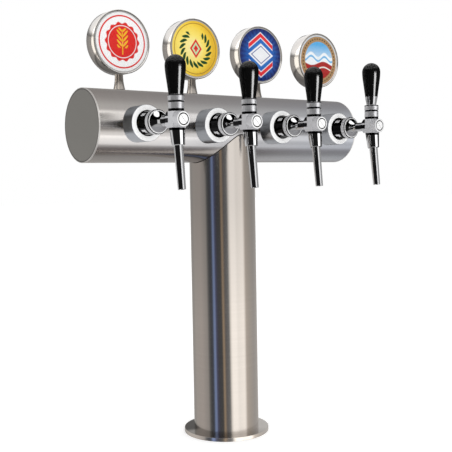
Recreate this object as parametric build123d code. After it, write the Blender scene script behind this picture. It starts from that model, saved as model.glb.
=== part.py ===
from build123d import *

import os
from math import cos, radians, sqrt, tan

# Four-tap T tower for draught drinks: a steel column on a round foot carries a level
# crossbar with four pull taps in front and four round badge lamps on top.
# Millimetres. The origin is the centre of the foot's underside, on the column's axis.
# +X runs along the crossbar, -Y points to the front, where the taps are, and +Z is up.

# ---- Tower tubes ----
CROSSBAR_OD = 104.0
CROSSBAR_WALL = 2.0
CROSSBAR_LENGTH = 482.0
CROSSBAR_AXIS_Z = 474.0
COLUMN_OD = 101.6
COLUMN_WALL = 2.0
WELD_GAP = 0.05
LINE_DOORWAY_RADIUS = 43.0

CAP_THICKNESS = 2.0
CAP_EDGE_CHAMFER = 0.5
CAP_SPIGOT_DEPTH = 12.0
CAP_SPIGOT_WALL = 2.0
CAP_FIT = 0.05

# ---- Foot ----
FOOT_OD = 132.6
FOOT_THICKNESS = 5.8
FOOT_EDGE_FILLET = 0.5
LINE_PASSAGE_RADIUS = 37.0
ANCHOR_RING_HEIGHT = 14.0
ANCHOR_RING_FIT = 0.1
ANCHOR_BOLT_COUNT = 4
ANCHOR_PCD = 85.4
ANCHOR_TAPPING_RADIUS = 2.5
ANCHOR_CLEARANCE_RADIUS = 3.3

# ---- Rows along the crossbar ----
TAP_COUNT = 4
TAP_PITCH = 120.0
BADGE_PITCH = 125.5
BADGE_ROW_OFFSET = 8.5

# ---- Tap mounting: rosette, threaded shank and coupling nut ----
ROSETTE_OD = 50.0
ROSETTE_LENGTH = 24.0
ROSETTE_WALL = 3.0
ROSETTE_FACE = 7.0
ROSETTE_EDGE_CHAMFER = 0.8
SHANK_RADIUS = 11.4
SHANK_CLEARANCE = 0.2
SHANK_BORE_RADIUS = 4.0
SHANK_FLANGE_RADIUS = 15.0
SHANK_FLANGE_THICKNESS = 2.0
SHANK_TAIL = 22.0
SADDLE_WASHER_RADIUS = 17.0
SADDLE_WASHER_THICKNESS = 3.0
SHANK_NUT_FLATS = 30.0
SHANK_NUT_HEIGHT = 7.0
COUPLING_OD = 32.0
COUPLING_LENGTH = 18.7
COUPLING_FRONT_WALL = 4.7
COUPLING_NOTCH_COUNT = 6
COUPLING_NOTCH_WIDTH = 5.0
COUPLING_NOTCH_DEPTH = 1.6
COUPLING_NOTCH_LENGTH = 7.5
SEAT_GAP = 0.3

# ---- Tap body ----
TAIL_RADIUS = 9.0
TAIL_COLLAR_RADIUS = 10.6
TAIL_COLLAR_LENGTH = 2.7
TAIL_SEAL_THICKNESS = 1.5
RING_OD = 33.5
RING_LENGTH = 7.7
RING_EDGE_CHAMFER = 0.7
RING_PIN_HOLE_COUNT = 6
RING_PIN_HOLE_RADIUS = 1.1
RING_PIN_HOLE_DEPTH = 1.6
RING_PIN_HOLE_START = 30.0
FLARE_RADIUS = 15.2
FLARE_LENGTH = 15.0
NECK_RADIUS = 6.8
NECK_LENGTH = 17.0
BLOCK_LENGTH = 18.0
BLOCK_WIDTH = 20.0
BLOCK_HEIGHT = 21.0
BLOCK_BACK_CHAMFER = 4.0
BOSS_RADIUS = 10.25
BOSS_LENGTH = 10.2
BOSS_EDGE_FILLET = 0.8
LEVER_SETBACK = 11.5
UPSTAND_RADIUS = 10.3
UPSTAND_HEIGHT = 3.5

# ---- Spout, leaning forward under the block ----
SPOUT_LEAN = 6.2
BARREL_START = 5.0
BARREL_TOP_RADIUS = 10.9
BARREL_END_RADIUS = 8.6
BARREL_LENGTH = 28.5
BARREL_EDGE_FILLET = 0.8
BARREL_BORE_RADIUS = 4.4
NOZZLE_TOP_RADIUS = 6.25
NOZZLE_TIP_RADIUS = 5.35
NOZZLE_LENGTH = 57.0
NOZZLE_BORE_RADIUS = 4.0
NOZZLE_SPIGOT_RADIUS = 5.5
NOZZLE_SPIGOT_LENGTH = 8.0
NOZZLE_FIT = 0.05

# ---- Valve ----
INLET_RADIUS = 4.0
CHAMBER_RADIUS = 5.4
CHAMBER_LENGTH = 16.0
SEAT_LENGTH = 1.5
SEAT_SETBACK = 5.0
PISTON_RADIUS = 4.0
PISTON_STEM_RADIUS = 1.8
PISTON_NOSE = 11.0
PISTON_SLOT_WALL = 2.9
RUNNING_GAP = 0.08
MIXING_RADIUS = 5.6

# ---- Flow adjuster screw in the front boss ----
ADJUSTER_RADIUS = 5.5
ADJUSTER_LENGTH = 4.5
ADJUSTER_NOSE_CLEARANCE = 0.4
ADJUSTER_FACE = 0.6
ADJUSTER_HEAD_RADIUS = 6.5
ADJUSTER_HEAD_LENGTH = 3.1
ADJUSTER_RING_GAP = 1.6
ADJUSTER_SLOT_WIDTH = 1.1
ADJUSTER_SLOT_DEPTH = 1.0
ADJUSTER_SLOT_TILT = 48.0

# ---- Lever, its ball joint and the grip ----
LEVER_OPEN_ANGLE = 20.0
LEVER_FOAM_ANGLE = 12.0
PIVOT_RISE = 9.0
BALL_RADIUS = 4.7
BALL_CLEARANCE = 0.3
BALL_SEAT_RADIUS = 4.1
BALL_SEAT_WALL = 0.8
THROAT_RADIUS = 5.8
THROAT_TOP = 4.4
FINGER_RADIUS = 1.8
FINGER_BALL_RADIUS = 2.3
FINGER_CLEARANCE = 0.35
LEVER_STEM_RADIUS = 2.6
BONNET_RADIUS = 10.5
BONNET_HEIGHT = 9.0
BONNET_SPIGOT_RADIUS = 8.4
BONNET_SPIGOT_LENGTH = 3.4
BONNET_FIT = 0.1
DOME_GAP = 1.3
COLLAR_RADIUS = 10.7
COLLAR_HEIGHT = 7.4
COLLAR_EDGE_CHAMFER = 0.4
STUD_RADIUS = 4.0
STUD_LENGTH = 12.0
STUD_FIT = 0.1
GRIP_LENGTH = 51.5
GRIP_BASE_RADIUS = 9.5
GRIP_WAIST_RADIUS = 12.0
GRIP_WAIST_HEIGHT = 19.0
GRIP_TOP_RADIUS = 13.8
FERRULE_LENGTH = 13.0
FERRULE_BASE_RADIUS = 7.2
FERRULE_TOP_RADIUS = 9.7
FERRULE_COUNT = 1

# ---- Badge lamps ----
BADGE_OD = 90.0
BADGE_DEPTH = 24.0
BADGE_WALL = 2.0
BADGE_BACK = 2.0
BADGE_BACK_FILLET = 2.5
BADGE_RIM_FILLET = 0.9
BADGE_CENTRE_RISE = 118.0
LENS_SEAT_WIDTH = 2.0
LENS_THICKNESS = 2.4
LENS_DOME = 1.6
LENS_RECESS = 1.0
LENS_FIT = 0.1
STEM_TOP_RADIUS = 5.8
STEM_FOOT_RADIUS = 8.4
STEM_STUD_RADIUS = 4.0
STEM_STUD_LENGTH = 16.0
STEM_PIN_RADIUS = 3.0
STEM_PIN_LENGTH = 6.0
STEM_HOLE_CLEARANCE = 0.2
BADGE_NUT_FLATS = 13.0
BADGE_NUT_HEIGHT = 6.5

# ---- Drink lines and the cooling loop inside ----
LINE_OD = 9.5
LINE_WALL = 0.8
LINE_SOCKET_DEPTH = 8.0
LINE_SOCKET_FIT = 0.05
LINE_END_Z = 32.0
LINE_DROP_X = 20.0
OUTER_LINE_Y = 24.0
OUTER_LINE_BEND = 24.0
INNER_LINE_Y = -3.0
INNER_LINE_BEND = 15.0
COOLING_OD = 8.0
COOLING_WALL = 0.8
COOLING_LEG_X = 7.0
COOLING_Y = 11.0
COOLING_REACH = 200.0
COOLING_RISE = 27.0
COOLING_BEND = 20.0
SPACER_LEVELS = (70.0, 390.0)
SPACER_THICKNESS = 6.0
SPACER_FRONT_Y = -11.0
SPACER_FIT = 0.3
SPACER_HOLE_FIT = 0.15

# ---- Places worked out from the sizes above ----
CROSSBAR_RADIUS = CROSSBAR_OD / 2
CROSSBAR_BORE_RADIUS = CROSSBAR_RADIUS - CROSSBAR_WALL
CROSSBAR_TUBE_LENGTH = CROSSBAR_LENGTH - 2 * CAP_THICKNESS
COLUMN_RADIUS = COLUMN_OD / 2
COLUMN_BORE_RADIUS = COLUMN_RADIUS - COLUMN_WALL
TAP_XS = [TAP_PITCH * (i - (TAP_COUNT - 1) / 2) for i in range(TAP_COUNT)]
BADGE_XS = [BADGE_ROW_OFFSET + BADGE_PITCH * (i - (TAP_COUNT - 1) / 2) for i in range(TAP_COUNT)]

# Distances forward of the column's axis, along a tap.
ROSETTE_FRONT = CROSSBAR_RADIUS + ROSETTE_LENGTH
COUPLING_BACK = ROSETTE_FRONT + SEAT_GAP
COUPLING_FRONT = COUPLING_BACK + COUPLING_LENGTH
SHANK_BACK = CROSSBAR_BORE_RADIUS - SHANK_TAIL
COUPLING_WALL_BACK = COUPLING_FRONT - COUPLING_FRONT_WALL
TAIL_BACK = COUPLING_WALL_BACK - TAIL_COLLAR_LENGTH
SHANK_FRONT = TAIL_BACK - TAIL_SEAL_THICKNESS
RING_BACK = COUPLING_FRONT + SEAT_GAP
RING_FRONT = RING_BACK + RING_LENGTH
FLARE_FRONT = RING_FRONT + FLARE_LENGTH
BLOCK_BACK = FLARE_FRONT + NECK_LENGTH
BLOCK_FRONT = BLOCK_BACK + BLOCK_LENGTH
BOSS_FRONT = BLOCK_FRONT + BOSS_LENGTH
LEVER_AXIS = BLOCK_BACK + LEVER_SETBACK
SEAT_BACK = BLOCK_BACK - SEAT_SETBACK
SEAT_FRONT = SEAT_BACK + SEAT_LENGTH

# Inside the tap. The piston's foaming stroke follows from the lever's angle.
PISTON_FOAMING = PIVOT_RISE * radians(LEVER_FOAM_ANGLE)
MIXING_FRONT = LEVER_AXIS - BALL_SEAT_RADIUS - BALL_SEAT_WALL
SLOT_HALF_WIDTH = FINGER_BALL_RADIUS + FINGER_CLEARANCE
PISTON_LAND_BACK = LEVER_AXIS - SLOT_HALF_WIDTH - PISTON_SLOT_WALL
PISTON_FRONT = LEVER_AXIS + PISTON_NOSE
PISTON_BORE_RADIUS = PISTON_RADIUS + RUNNING_GAP
NOSE_BORE_RADIUS = PISTON_RADIUS + ADJUSTER_NOSE_CLEARANCE
NOSE_BORE_FRONT = PISTON_FRONT + PISTON_FOAMING + SEAT_GAP
ADJUSTER_HEAD_BACK = NOSE_BORE_FRONT + ADJUSTER_FACE
ADJUSTER_BACK = ADJUSTER_HEAD_BACK - ADJUSTER_LENGTH
ADJUSTER_FRONT = ADJUSTER_HEAD_BACK + ADJUSTER_HEAD_LENGTH
RECESS_BACK = ADJUSTER_HEAD_BACK - SEAT_GAP
RECESS_RADIUS = ADJUSTER_HEAD_RADIUS + ADJUSTER_RING_GAP

# Heights above a tap's axis.
BLOCK_TOP = BLOCK_HEIGHT / 2
UPSTAND_TOP = BLOCK_TOP + UPSTAND_HEIGHT
BONNET_RIM = UPSTAND_TOP + BONNET_HEIGHT
DOME_RADIUS = sqrt((BONNET_RIM - PIVOT_RISE) ** 2 + BONNET_RADIUS**2)
CUP_RADIUS = DOME_RADIUS + DOME_GAP
COLLAR_RIM = PIVOT_RISE + sqrt(CUP_RADIUS**2 - COLLAR_RADIUS**2)
COLLAR_TOP = COLLAR_RIM + COLLAR_HEIGHT

# Distances down the leaning spout from the tap's axis.
BARREL_END = BARREL_START + BARREL_LENGTH
NOZZLE_TIP = BARREL_END + NOZZLE_LENGTH
SOCKET_START = BARREL_END - NOZZLE_SPIGOT_LENGTH

BADGE_CENTRE_Z = CROSSBAR_AXIS_Z + BADGE_CENTRE_RISE
LENS_RADIUS = BADGE_OD / 2 - BADGE_WALL

FORWARD = Rot(90, 0, 0)
ALONG_X = Rot(0, 90, 0)


def turned(*points):
    """Solid of revolution about Z. Each point is a radius and a height."""
    return revolve(Plane.XZ * make_face(Polyline(*points, close=True)), Axis.Z)


def disc(radius, bottom, top):
    """Round bar about Z between two heights."""
    return Pos(0, 0, (bottom + top) / 2) * Cylinder(radius, top - bottom)


def tube(outer_radius, inner_radius, bottom, top):
    """Round tube about Z between two heights."""
    return disc(outer_radius, bottom, top) - disc(inner_radius, bottom, top)


def hex_nut(flats, bore_radius, bottom, top):
    """Hexagonal nut about Z between two heights."""
    blank = extrude(RegularPolygon(flats / 2, 6, major_radius=False), top - bottom)
    return Pos(0, 0, bottom) * blank - disc(bore_radius, bottom, top)


def crossbar_bar(radius, length=CROSSBAR_LENGTH):
    """Round bar on the crossbar's axis."""
    return Pos(0, 0, CROSSBAR_AXIS_Z) * ALONG_X * Cylinder(radius, length)


def tap_place(x):
    """Place on the tower of a shape drawn about Z, with its height as distance forward."""
    return Pos(x, 0, CROSSBAR_AXIS_Z) * FORWARD


def lever_place(x):
    """Place on the tower of a shape drawn about Z, with its height above the tap's axis."""
    return Pos(x, -LEVER_AXIS, CROSSBAR_AXIS_Z)


def spout_place(x):
    """Place of a shape drawn about Z, with its height as distance up the leaning spout."""
    return lever_place(x) * Rot(-SPOUT_LEAN, 0, 0)


def polar_points(radius, count, start):
    """Points on a circle about Z, as places turned to face outward."""
    return [Rot(0, 0, start + 360 * i / count) * Pos(radius, 0, 0) for i in range(count)]


# ---------------------------------------------------------------- tower
def crossbar_tube():
    """Level tube with a doorway over the column, holes for the shanks and badge stems."""
    body = crossbar_bar(CROSSBAR_RADIUS, CROSSBAR_TUBE_LENGTH) - crossbar_bar(CROSSBAR_BORE_RADIUS)
    body -= disc(LINE_DOORWAY_RADIUS, CROSSBAR_AXIS_Z - CROSSBAR_OD, CROSSBAR_AXIS_Z)
    shank_hole = disc(SHANK_RADIUS + SHANK_CLEARANCE, 0, CROSSBAR_OD)
    for x in TAP_XS:
        body -= tap_place(x) * shank_hole
    stem_hole = disc(STEM_STUD_RADIUS + STEM_HOLE_CLEARANCE, CROSSBAR_AXIS_Z, CROSSBAR_AXIS_Z + CROSSBAR_OD)
    for x in BADGE_XS:
        body -= Pos(x, 0, 0) * stem_hole
    return body


def end_cap(side):
    """Flat cap with a short spigot in the crossbar's bore. Side is -1 left or 1 right."""
    outside = CROSSBAR_LENGTH / 2
    shoulder = outside - CAP_THICKNESS
    spigot_radius = CROSSBAR_BORE_RADIUS - CAP_FIT
    plate = turned(
        (0, shoulder),
        (CROSSBAR_RADIUS, shoulder),
        (CROSSBAR_RADIUS, outside - CAP_EDGE_CHAMFER),
        (CROSSBAR_RADIUS - CAP_EDGE_CHAMFER, outside),
        (0, outside),
    )
    spigot = tube(spigot_radius, spigot_radius - CAP_SPIGOT_WALL, shoulder - CAP_SPIGOT_DEPTH, shoulder)
    return Pos(0, 0, CROSSBAR_AXIS_Z) * Rot(0, 90 * side, 0) * (plate + spigot)


def column_tube():
    """Upright tube, cut to a saddle under the crossbar."""
    body = tube(COLUMN_RADIUS, COLUMN_BORE_RADIUS, FOOT_THICKNESS, CROSSBAR_AXIS_Z)
    return body - crossbar_bar(CROSSBAR_RADIUS + WELD_GAP)


def base_flange():
    """Round foot plate with the line passage and the bolt clearance holes."""
    plate = fillet(disc(FOOT_OD / 2, 0, FOOT_THICKNESS).edges(), FOOT_EDGE_FILLET)
    plate -= disc(LINE_PASSAGE_RADIUS, 0, FOOT_THICKNESS)
    bolt_hole = disc(ANCHOR_CLEARANCE_RADIUS, 0, FOOT_THICKNESS)
    for place in polar_points(ANCHOR_PCD / 2, ANCHOR_BOLT_COUNT, 45):
        plate -= place * bolt_hole
    return plate


def anchor_ring():
    """Ring inside the column's foot, tapped for the bolts that come up through the counter."""
    top = FOOT_THICKNESS + ANCHOR_RING_HEIGHT
    ring = tube(COLUMN_BORE_RADIUS - ANCHOR_RING_FIT, LINE_PASSAGE_RADIUS, FOOT_THICKNESS, top)
    tapped_hole = disc(ANCHOR_TAPPING_RADIUS, FOOT_THICKNESS, top)
    for place in polar_points(ANCHOR_PCD / 2, ANCHOR_BOLT_COUNT, 45):
        ring -= place * tapped_hole
    return ring


# ---------------------------------------------------------------- lines inside
def pipe(points, bend, outer_diameter, wall):
    """Bent tube with straight runs and equal bends."""
    path = FilletPolyline(*points, radius=bend)
    start = Plane(origin=path @ 0, z_dir=path % 0)
    section = Circle(outer_diameter / 2) - Circle(outer_diameter / 2 - wall)
    return sweep(start * section, path=path)


def line_drop(index):
    """X and Y of the upright stretch of one drink line."""
    side = -1 if TAP_XS[index] < 0 else 1
    is_outer = abs(TAP_XS[index]) > TAP_PITCH
    return side * LINE_DROP_X, OUTER_LINE_Y if is_outer else INNER_LINE_Y


def drink_line(index):
    """Steel tube from the column's foot to the back of one shank."""
    drop_x, drop_y = line_drop(index)
    bend = OUTER_LINE_BEND if abs(TAP_XS[index]) > TAP_PITCH else INNER_LINE_BEND
    socket_floor = -(SHANK_BACK + LINE_SOCKET_DEPTH)
    points = [
        (drop_x, drop_y, LINE_END_Z),
        (drop_x, drop_y, CROSSBAR_AXIS_Z),
        (TAP_XS[index], drop_y, CROSSBAR_AXIS_Z),
        (TAP_XS[index], socket_floor, CROSSBAR_AXIS_Z),
    ]
    return pipe(points, bend, LINE_OD, LINE_WALL)


def cooling_loop():
    """Coolant tube that rises in the column and runs round inside the crossbar."""
    low = CROSSBAR_AXIS_Z - COOLING_RISE
    high = CROSSBAR_AXIS_Z + COOLING_RISE
    right_half = [
        (COOLING_LEG_X, LINE_END_Z),
        (COOLING_LEG_X, low),
        (COOLING_REACH, low),
        (COOLING_REACH, high),
    ]
    left_half = [(-x, z) for x, z in reversed(right_half)]
    points = [(x, COOLING_Y, z) for x, z in right_half + left_half]
    return pipe(points, COOLING_BEND, COOLING_OD, COOLING_WALL)


def line_spacers():
    """Two plastic plates that hold the lines apart in the back of the column."""
    radius = COLUMN_BORE_RADIUS - SPACER_FIT
    plate = disc(radius, 0, SPACER_THICKNESS)
    plate -= Pos(0, SPACER_FRONT_Y - radius, SPACER_THICKNESS / 2) * Box(
        2 * radius, 2 * radius, SPACER_THICKNESS
    )
    line_hole = disc(LINE_OD / 2 + SPACER_HOLE_FIT, 0, SPACER_THICKNESS)
    for index in range(TAP_COUNT):
        plate -= Pos(*line_drop(index), 0) * line_hole
    cooling_hole = disc(COOLING_OD / 2 + SPACER_HOLE_FIT, 0, SPACER_THICKNESS)
    for x in (-COOLING_LEG_X, COOLING_LEG_X):
        plate -= Pos(x, COOLING_Y, 0) * cooling_hole
    return [Pos(0, 0, level) * plate for level in SPACER_LEVELS]


# ---------------------------------------------------------------- tap mounting
def rosette(x):
    """Hollow boss, saddled on the crossbar, with a seat for the shank's flange."""
    front = ROSETTE_FRONT
    radius = ROSETTE_OD / 2
    boss = turned(
        (0, 0),
        (radius, 0),
        (radius, front - ROSETTE_EDGE_CHAMFER),
        (radius - ROSETTE_EDGE_CHAMFER, front),
        (0, front),
    )
    boss -= disc(radius - ROSETTE_WALL, 0, front - ROSETTE_FACE)
    boss -= disc(SHANK_RADIUS + SHANK_CLEARANCE, 0, front)
    boss -= disc(SHANK_FLANGE_RADIUS + SHANK_CLEARANCE, front - SHANK_FLANGE_THICKNESS, front)
    return tap_place(x) * boss - crossbar_bar(CROSSBAR_RADIUS + WELD_GAP)


def tap_shank(x):
    """Threaded tube through the crossbar's front wall, with the line's socket behind."""
    shank = disc(SHANK_RADIUS, SHANK_BACK, SHANK_FRONT)
    shank += disc(SHANK_FLANGE_RADIUS, ROSETTE_FRONT - SHANK_FLANGE_THICKNESS, ROSETTE_FRONT)
    shank -= disc(SHANK_BORE_RADIUS, SHANK_BACK, SHANK_FRONT)
    shank -= disc(LINE_OD / 2 + LINE_SOCKET_FIT, SHANK_BACK, SHANK_BACK + LINE_SOCKET_DEPTH)
    return tap_place(x) * shank


def tail_seal(x):
    """Rubber washer between the shank's front end and the tap's tail."""
    return tap_place(x) * tube(TAIL_COLLAR_RADIUS, SHANK_BORE_RADIUS, SHANK_FRONT, TAIL_BACK)


def shank_fasteners():
    """Saddle washer and nut behind the crossbar's front wall, for each shank."""
    washer_back = sqrt(CROSSBAR_BORE_RADIUS**2 - SADDLE_WASHER_RADIUS**2) - SADDLE_WASHER_THICKNESS
    bore_radius = SHANK_RADIUS + SHANK_CLEARANCE
    washer = tube(SADDLE_WASHER_RADIUS, bore_radius, washer_back, CROSSBAR_RADIUS)
    nut = hex_nut(SHANK_NUT_FLATS, bore_radius, washer_back - SHANK_NUT_HEIGHT, washer_back)
    bar = crossbar_bar(CROSSBAR_BORE_RADIUS - WELD_GAP)
    pieces = []
    for x in TAP_XS:
        pieces.append((tap_place(x) * washer) & bar)
        pieces.append(tap_place(x) * nut)
    return pieces


def coupling_nut(x):
    """Ring nut with hook-spanner notches that pulls the tap onto its shank."""
    radius = COUPLING_OD / 2
    nut = disc(radius, COUPLING_BACK, COUPLING_FRONT)
    nut -= disc(SHANK_RADIUS + SHANK_CLEARANCE, COUPLING_BACK, COUPLING_WALL_BACK)
    nut -= disc(TAIL_RADIUS + SHANK_CLEARANCE, COUPLING_WALL_BACK, COUPLING_FRONT)
    notch = Pos(0, 0, COUPLING_BACK + COUPLING_NOTCH_LENGTH / 2) * Box(
        2 * COUPLING_NOTCH_DEPTH, COUPLING_NOTCH_WIDTH, COUPLING_NOTCH_LENGTH
    )
    for place in polar_points(radius, COUPLING_NOTCH_COUNT, 0):
        nut -= place * notch
    return tap_place(x) * nut


# ---------------------------------------------------------------- tap body
def tap_tail_and_neck():
    """Tail collar, satin ring, bell-shaped flare and neck, turned about the tap's axis."""
    ring_radius = RING_OD / 2
    outline = Polyline(
        (0, TAIL_BACK),
        (TAIL_COLLAR_RADIUS, TAIL_BACK),
        (TAIL_COLLAR_RADIUS, COUPLING_WALL_BACK - SEAT_GAP),
        (TAIL_RADIUS, COUPLING_WALL_BACK - SEAT_GAP),
        (TAIL_RADIUS, RING_BACK),
        (ring_radius, RING_BACK),
        (ring_radius, RING_FRONT - RING_EDGE_CHAMFER),
        (ring_radius - RING_EDGE_CHAMFER, RING_FRONT),
        (FLARE_RADIUS, RING_FRONT),
    )
    bell = TangentArc((NECK_RADIUS, FLARE_FRONT), (FLARE_RADIUS, RING_FRONT), tangent=(0, -1))
    neck = Polyline((NECK_RADIUS, FLARE_FRONT), (NECK_RADIUS, LEVER_AXIS), (0, LEVER_AXIS), (0, TAIL_BACK))
    body = revolve(Plane.XZ * make_face([*outline.edges(), bell, *neck.edges()]), Axis.Z)
    pin_hole = Rot(0, 90, 0) * Cylinder(RING_PIN_HOLE_RADIUS, 2 * RING_PIN_HOLE_DEPTH)
    ring_middle = Pos(0, 0, (RING_BACK + RING_FRONT) / 2)
    for place in polar_points(ring_radius, RING_PIN_HOLE_COUNT, RING_PIN_HOLE_START):
        body -= ring_middle * place * pin_hole
    return body


def tap_block():
    """Flat-sided middle of the tap, its back corners cut off, with the round front boss."""
    half = BLOCK_HEIGHT / 2
    corner = BLOCK_BACK_CHAMFER
    side = Polyline(
        (-half + corner, BLOCK_BACK),
        (half - corner, BLOCK_BACK),
        (half, BLOCK_BACK + corner),
        (half, BLOCK_FRONT),
        (-half, BLOCK_FRONT),
        (-half, BLOCK_BACK + corner),
        close=True,
    )
    block = extrude(Plane.YZ * make_face(side), BLOCK_WIDTH / 2, both=True)
    boss = disc(BOSS_RADIUS, LEVER_AXIS, BOSS_FRONT)
    boss = fillet(boss.edges().sort_by(Axis.Z)[-1], BOSS_EDGE_FILLET)
    return block + boss


def valve_bore():
    """Drink way through the tap from the tail to the front boss."""
    return turned(
        (0, TAIL_BACK),
        (INLET_RADIUS, TAIL_BACK),
        (INLET_RADIUS, SEAT_BACK - CHAMBER_LENGTH),
        (CHAMBER_RADIUS, SEAT_BACK - CHAMBER_LENGTH),
        (CHAMBER_RADIUS, SEAT_BACK),
        (PISTON_BORE_RADIUS, SEAT_BACK),
        (PISTON_BORE_RADIUS, SEAT_FRONT),
        (MIXING_RADIUS, SEAT_FRONT),
        (MIXING_RADIUS, MIXING_FRONT),
        (PISTON_BORE_RADIUS, MIXING_FRONT),
        (PISTON_BORE_RADIUS, ADJUSTER_BACK - SEAT_GAP),
        (ADJUSTER_RADIUS + RUNNING_GAP, ADJUSTER_BACK - SEAT_GAP),
        (ADJUSTER_RADIUS + RUNNING_GAP, RECESS_BACK),
        (RECESS_RADIUS, RECESS_BACK),
        (RECESS_RADIUS, BOSS_FRONT),
        (0, BOSS_FRONT),
    )


def spout_barrel():
    """Tapered barrel below the block."""
    barrel = turned(
        (0, -BARREL_END),
        (BARREL_END_RADIUS, -BARREL_END),
        (BARREL_TOP_RADIUS, -BARREL_START),
        (0, -BARREL_START),
    )
    return fillet(barrel.edges().filter_by(GeomType.CIRCLE), BARREL_EDGE_FILLET)


def side_waste():
    """What stands proud beside the block, cut away so that its sides are flat."""
    around = Box(2 * BLOCK_WIDTH, BLOCK_HEIGHT, BLOCK_LENGTH) - Box(BLOCK_WIDTH, BLOCK_HEIGHT, BLOCK_LENGTH)
    return Pos(0, 0, (BLOCK_BACK + BLOCK_FRONT) / 2) * around


def lever_cavity():
    """Throat, ball seat and pocket for the bonnet's spigot, turned about the lever's axis."""
    ball_space = BALL_RADIUS + BALL_CLEARANCE
    seat_top = PIVOT_RISE - sqrt(ball_space**2 - BALL_SEAT_RADIUS**2)
    pocket_floor = UPSTAND_TOP - BONNET_SPIGOT_LENGTH - BONNET_FIT
    pocket_radius = BONNET_SPIGOT_RADIUS + BONNET_FIT
    mouth_radius = sqrt(ball_space**2 - (pocket_floor - PIVOT_RISE) ** 2)
    throat = Polyline(
        (0, UPSTAND_TOP),
        (0, -BARREL_START),
        (THROAT_RADIUS, -BARREL_START),
        (THROAT_RADIUS, THROAT_TOP),
        (BALL_SEAT_RADIUS, THROAT_TOP),
        (BALL_SEAT_RADIUS, seat_top),
    )
    seat = ThreePointArc((BALL_SEAT_RADIUS, seat_top), (ball_space, PIVOT_RISE), (mouth_radius, pocket_floor))
    pocket = Polyline(
        (mouth_radius, pocket_floor),
        (pocket_radius, pocket_floor),
        (pocket_radius, UPSTAND_TOP),
        (0, UPSTAND_TOP),
    )
    return revolve(Plane.XZ * make_face([*throat.edges(), seat, *pocket.edges()]), Axis.Z)


def tap_body(x):
    """Whole tap casting: tail, ring, flare, neck, block, boss, upstand and barrel."""
    body = tap_place(x) * (tap_tail_and_neck() + tap_block())
    body += lever_place(x) * disc(UPSTAND_RADIUS, 0, UPSTAND_TOP)
    body += spout_place(x) * spout_barrel()
    body -= tap_place(x) * side_waste()
    body -= tap_place(x) * valve_bore()
    body -= lever_place(x) * lever_cavity()
    body -= spout_place(x) * disc(BARREL_BORE_RADIUS, -BARREL_END, 0)
    body -= spout_place(x) * disc(NOZZLE_SPIGOT_RADIUS + NOZZLE_FIT, -BARREL_END, -SOCKET_START)
    return body


def nozzle(x):
    """Slim tapered spout pushed up into the barrel."""
    tip = -NOZZLE_TIP
    body = turned(
        (NOZZLE_BORE_RADIUS, tip),
        (NOZZLE_TIP_RADIUS, tip),
        (NOZZLE_TOP_RADIUS, -BARREL_END - NOZZLE_FIT),
        (NOZZLE_SPIGOT_RADIUS, -BARREL_END - NOZZLE_FIT),
        (NOZZLE_SPIGOT_RADIUS, -SOCKET_START),
        (NOZZLE_BORE_RADIUS, -SOCKET_START),
    )
    return spout_place(x) * body


# ---------------------------------------------------------------- moving parts of a tap
def finger_slot():
    """Slot down through the piston, flared upward so that the lever's finger can tilt."""
    reach = 2 * PISTON_RADIUS
    flared = SLOT_HALF_WIDTH + reach * tan(radians(LEVER_OPEN_ANGLE))
    outline = Polyline(
        (-reach, LEVER_AXIS - SLOT_HALF_WIDTH),
        (0, LEVER_AXIS - SLOT_HALF_WIDTH),
        (reach, LEVER_AXIS - flared),
        (reach, LEVER_AXIS + flared),
        (0, LEVER_AXIS + SLOT_HALF_WIDTH),
        (-reach, LEVER_AXIS + SLOT_HALF_WIDTH),
        close=True,
    )
    return extrude(Plane.YZ * make_face(outline), SLOT_HALF_WIDTH, both=True)


def valve_piston(x):
    """Spool that opens when it moves back, slotted for the lever's finger."""
    land_front = SEAT_FRONT + SEAT_GAP
    land_back = SEAT_BACK - PISTON_FOAMING
    spool = turned(
        (0, land_back),
        (PISTON_RADIUS, land_back),
        (PISTON_RADIUS, land_front),
        (PISTON_STEM_RADIUS, land_front),
        (PISTON_STEM_RADIUS, PISTON_LAND_BACK),
        (PISTON_RADIUS, PISTON_LAND_BACK),
        (PISTON_RADIUS, PISTON_FRONT),
        (0, PISTON_FRONT),
    )
    return tap_place(x) * (spool - finger_slot())


def adjuster_screw(x):
    """Slotted screw in the front boss that limits the piston's foaming stroke."""
    screw = disc(ADJUSTER_RADIUS, ADJUSTER_BACK, ADJUSTER_HEAD_BACK)
    screw += disc(ADJUSTER_HEAD_RADIUS, ADJUSTER_HEAD_BACK, ADJUSTER_FRONT)
    screw -= disc(NOSE_BORE_RADIUS, ADJUSTER_BACK, NOSE_BORE_FRONT)
    slot = Pos(0, 0, ADJUSTER_FRONT) * Rot(0, 0, -ADJUSTER_SLOT_TILT) * Box(
        3 * ADJUSTER_HEAD_RADIUS, ADJUSTER_SLOT_WIDTH, 2 * ADJUSTER_SLOT_DEPTH
    )
    return tap_place(x) * (screw - slot)


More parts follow.
